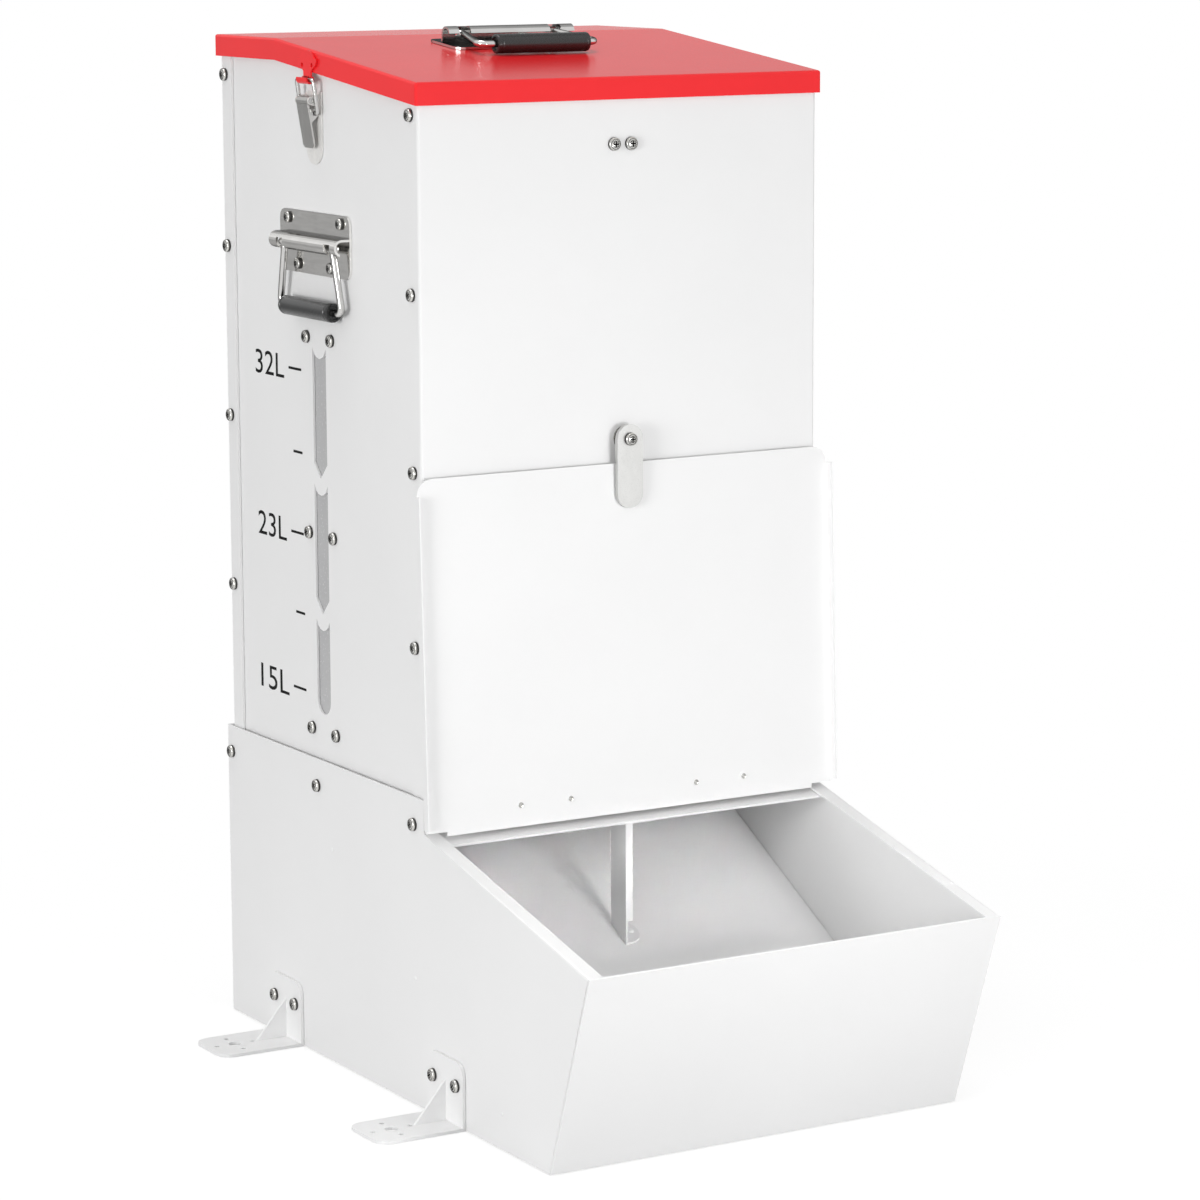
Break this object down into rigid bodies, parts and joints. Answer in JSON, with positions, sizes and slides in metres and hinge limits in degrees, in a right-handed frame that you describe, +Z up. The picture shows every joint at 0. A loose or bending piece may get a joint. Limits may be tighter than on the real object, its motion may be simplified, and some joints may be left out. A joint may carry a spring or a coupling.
{
  "type": "gravity feeder",
  "caption": "Sheet-steel gravity feeder: tall hopper with a lift-off latched lid, sight window, carrying handles, folding trough cover and a slanted feed trough on bracket feet.",
  "frame": {"origin": "bottom centre of the whole feeder's box, on the ground between the feet", "axes": "+Z up, the trough towards -Y, the side with the sight window towards -X"},
  "size_m": [0.4166, 0.489, 0.6743],
  "materials": {
    "white_paint": "satin powder coat",
    "trough_paint": "satin powder coat",
    "red_paint": "gloss powder coat",
    "polished_steel": "polished",
    "satin_steel": "satin",
    "zinc_plate": "zinc plated",
    "black_rubber": "matt",
    "clear_strip": "translucent"
  },
  "bodies": {
    "feeder": {"base_left_side": "white_paint", "base_rear_panel": "white_paint", "base_right_side": "white_paint", "button_screw": "zinc_plate", "button_spacer": "zinc_plate", "divider_rivet": "zinc_plate", "feed_ramp": "trough_paint", "front_backing_plate": "zinc_plate", "front_left_foot": "white_paint", "front_right_foot": "white_paint", "front_screw_1": "zinc_plate", "front_screw_2": "zinc_plate", "hopper_front_panel": "white_paint", "hopper_left_side": "white_paint", "hopper_rear_panel": "white_paint", "hopper_right_side": "white_paint", "left_handle_plate": "polished_steel", "left_hinge_fixed_leaf": "satin_steel", "left_hinge_pin": "polished_steel", "left_latch_base": "satin_steel", "left_latch_pin": "polished_steel", "rear_left_foot": "white_paint", "rear_right_foot": "white_paint", "right_handle_plate": "polished_steel", "right_hinge_fixed_leaf": "satin_steel", "right_hinge_pin": "polished_steel", "right_latch_base": "satin_steel", "right_latch_pin": "polished_steel", "trough_divider": "white_paint", "trough_front_panel": "white_paint", "window_screw_1": "zinc_plate", "window_screw_2": "zinc_plate", "window_screw_3": "zinc_plate", "window_screw_4": "zinc_plate", "window_screw_5": "zinc_plate", "window_screw_6": "zinc_plate", "window_strip": "clear_strip"},
    "lid": {"lid": "red_paint", "left_keeper": "red_paint", "right_keeper": "red_paint", "lid_handle_plate": "polished_steel"},
    "lid_bail": {"lid_handle_bail": "polished_steel", "lid_handle_grip": "black_rubber"},
    "left_bail": {"left_handle_bail": "polished_steel", "left_handle_grip": "black_rubber"},
    "right_bail": {"right_handle_bail": "polished_steel", "right_handle_grip": "black_rubber"},
    "left_lever": {"left_latch_lever": "satin_steel"},
    "right_lever": {"right_latch_lever": "satin_steel"},
    "left_loop": {"left_latch_loop": "polished_steel"},
    "right_loop": {"right_latch_loop": "polished_steel"},
    "cover": {"trough_cover": "white_paint", "left_hinge_moving_leaf": "satin_steel", "right_hinge_moving_leaf": "satin_steel", "cover_rivet_1": "zinc_plate", "cover_rivet_2": "zinc_plate", "cover_rivet_3": "zinc_plate", "cover_rivet_4": "zinc_plate"},
    "button": {"turn_button": "satin_steel"}
  },
  "joints": [
    {"name": "lid_lift", "type": "slide", "parent": "feeder", "child": "lid", "axis": [0, 0, 1], "range_m": [0, 0.08]},
    {"name": "lid_bail_swing", "type": "hinge", "parent": "lid", "child": "lid_bail", "pos_m": [-0.004, 0.10161, 0.66975], "axis": [-1, 0, 0], "range_deg": [0, 90]},
    {"name": "cover_fold", "type": "hinge", "parent": "feeder", "child": "cover", "pos_m": [0, -0.045, 0.18256], "axis": [1, 0, 0], "range_deg": [0, 105]},
    {"name": "button_turn", "type": "hinge", "parent": "feeder", "child": "button", "pos_m": [0, -0.0365, 0.41851], "axis": [0, 1, 0], "range_deg": [-90, 90]},
    {"name": "left_bail_swing", "type": "hinge", "parent": "feeder", "child": "left_bail", "pos_m": [-0.1513, 0.102, 0.53766], "axis": [0, 1, 0], "range_deg": [0, 90]},
    {"name": "left_lever_swing", "type": "hinge", "parent": "feeder", "child": "left_lever", "pos_m": [-0.1508, 0.1048, 0.62966], "axis": [0, 1, 0], "range_deg": [0, 105]},
    {"name": "left_loop_swing", "type": "hinge", "parent": "left_lever", "child": "left_loop", "pos_m": [-0.1475, 0.1048, 0.62166], "axis": [0, 1, 0], "range_deg": [-147, 0]},
    {"name": "right_bail_swing", "type": "hinge", "parent": "feeder", "child": "right_bail", "pos_m": [0.1513, 0.102, 0.53766], "axis": [0, -1, 0], "range_deg": [0, 90]},
    {"name": "right_lever_swing", "type": "hinge", "parent": "feeder", "child": "right_lever", "pos_m": [0.1508, 0.1048, 0.62966], "axis": [0, -1, 0], "range_deg": [0, 105]},
    {"name": "right_loop_swing", "type": "hinge", "parent": "right_lever", "child": "right_loop", "pos_m": [0.1475, 0.1048, 0.62166], "axis": [0, -1, 0], "range_deg": [-147, 0]}
  ],
  "couplings": [
    {"joint": "left_loop_swing", "follows": "left_lever_swing", "ratio": -1.4},
    {"joint": "right_loop_swing", "follows": "right_lever_swing", "ratio": -1.4}
  ]
}
